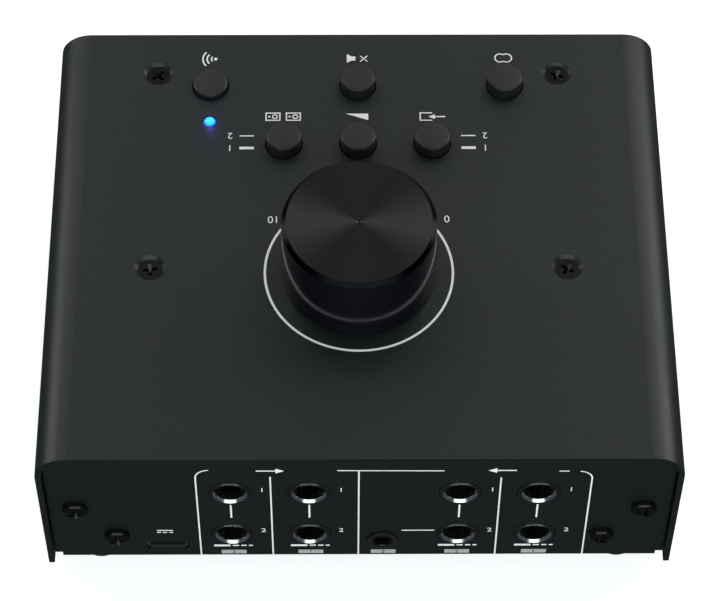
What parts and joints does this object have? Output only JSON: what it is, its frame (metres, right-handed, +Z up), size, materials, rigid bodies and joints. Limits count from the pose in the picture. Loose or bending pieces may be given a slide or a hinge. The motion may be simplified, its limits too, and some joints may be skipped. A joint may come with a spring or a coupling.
{
  "type": "studio monitor controller",
  "caption": "Desktop studio monitor controller: black folded-steel case, large volume knob, push buttons, status lamp and a rear panel of jack sockets.",
  "frame": {"origin": "centre of the footprint on the surface that the feet stand on", "axes": "+Z up, +Y out of the rear panel with the sockets, -Y towards the user, +X to the user's right"},
  "size_m": [0.14, 0.1176, 0.067],
  "materials": {
    "powder_coated_steel": "fine textured matt black powder coat",
    "plated_steel": "zinc plated",
    "black_screw_steel": "glossy black",
    "black_aluminium": "black anodised, spun top face",
    "shaft_steel": "satin",
    "chrome_brass": "chrome plated",
    "contact_bronze": "satin",
    "black_plastic": "satin black",
    "button_plastic": "satin black",
    "switch_plastic": "satin",
    "white_plastic": "natural white",
    "blue_lens": "clear blue lens",
    "board_laminate": "green solder mask",
    "chip_epoxy": "black epoxy",
    "capacitor_aluminium": "satin",
    "rubber": "matt black",
    "ribbon_sleeve": "satin grey"
  },
  "bodies": {
    "housing": {"top_cover": "powder_coated_steel", "base_tray": "powder_coated_steel", "rubber_feet": "rubber", "cover_fixing_brackets": "plated_steel", "case_screws": "black_screw_steel", "jack_bracket_screws": "black_screw_steel", "control_board_posts": "plated_steel", "top_cover_screws": "black_screw_steel", "control_board_screws": "plated_steel", "control_board": "board_laminate", "push_switch_bodies": "switch_plastic", "status_led": "blue_lens", "status_led_spacer": "black_plastic", "status_led_leads": "plated_steel", "pot_can": "plated_steel", "pot_bushing": "plated_steel", "pot_pins": "plated_steel", "pot_washer": "plated_steel", "pot_nut": "plated_steel", "main_board": "board_laminate", "main_board_pillars": "plated_steel", "main_board_screws": "plated_steel", "jack_board_brackets": "plated_steel", "jack_sleeves": "chrome_brass", "jack_contacts": "contact_bronze", "mini_jack_body": "black_plastic", "mini_jack_sleeve": "black_screw_steel", "usb_shell": "plated_steel", "usb_tongue": "black_plastic", "amplifier_chips": "chip_epoxy", "capacitors": "capacitor_aluminium", "radio_module": "board_laminate", "radio_shield": "plated_steel", "ribbon_connectors": "white_plastic", "ribbon_cable": "ribbon_sleeve", "jack_block_1": "black_plastic", "jack_block_2": "black_plastic", "jack_block_3": "black_plastic", "jack_block_4": "black_plastic"},
    "volume_knob": {"knob_shell": "black_aluminium", "knob_hub": "black_plastic", "pot_shaft": "shaft_steel", "pot_wiper": "black_plastic"},
    "wireless_push_button": {"wireless_button": "button_plastic", "wireless_switch_plunger": "white_plastic"},
    "mute_push_button": {"mute_button": "button_plastic", "mute_switch_plunger": "white_plastic"},
    "mono_push_button": {"mono_button": "button_plastic", "mono_switch_plunger": "white_plastic"},
    "monitor_push_button": {"monitor_button": "button_plastic", "monitor_switch_plunger": "white_plastic"},
    "dim_push_button": {"dim_button": "button_plastic", "dim_switch_plunger": "white_plastic"},
    "input_push_button": {"input_button": "button_plastic", "input_switch_plunger": "white_plastic"}
  },
  "joints": [
    {"name": "volume_turn", "type": "hinge", "parent": "housing", "child": "volume_knob", "pos_m": [0, 0.0097, 0.06], "axis": [0, 0, -1], "range_deg": [0, 300]},
    {"name": "wireless_press", "type": "slide", "parent": "housing", "child": "wireless_push_button", "axis": [0, 0, 1], "range_m": [-0.0008, 0.0018]},
    {"name": "mute_press", "type": "slide", "parent": "housing", "child": "mute_push_button", "axis": [0, 0, -1], "range_m": [0, 0.003], "stiffness_N_per_m": 300, "springref_m": -0.002},
    {"name": "mono_press", "type": "slide", "parent": "housing", "child": "mono_push_button", "axis": [0, 0, -1], "range_m": [0, 0.003], "stiffness_N_per_m": 300, "springref_m": -0.002},
    {"name": "monitor_press", "type": "slide", "parent": "housing", "child": "monitor_push_button", "axis": [0, 0, -1], "range_m": [0, 0.003], "stiffness_N_per_m": 300, "springref_m": -0.002},
    {"name": "dim_press", "type": "slide", "parent": "housing", "child": "dim_push_button", "axis": [0, 0, -1], "range_m": [0, 0.003], "stiffness_N_per_m": 300, "springref_m": -0.002},
    {"name": "input_press", "type": "slide", "parent": "housing", "child": "input_push_button", "axis": [0, 0, -1], "range_m": [0, 0.003], "stiffness_N_per_m": 300, "springref_m": -0.002}
  ]
}
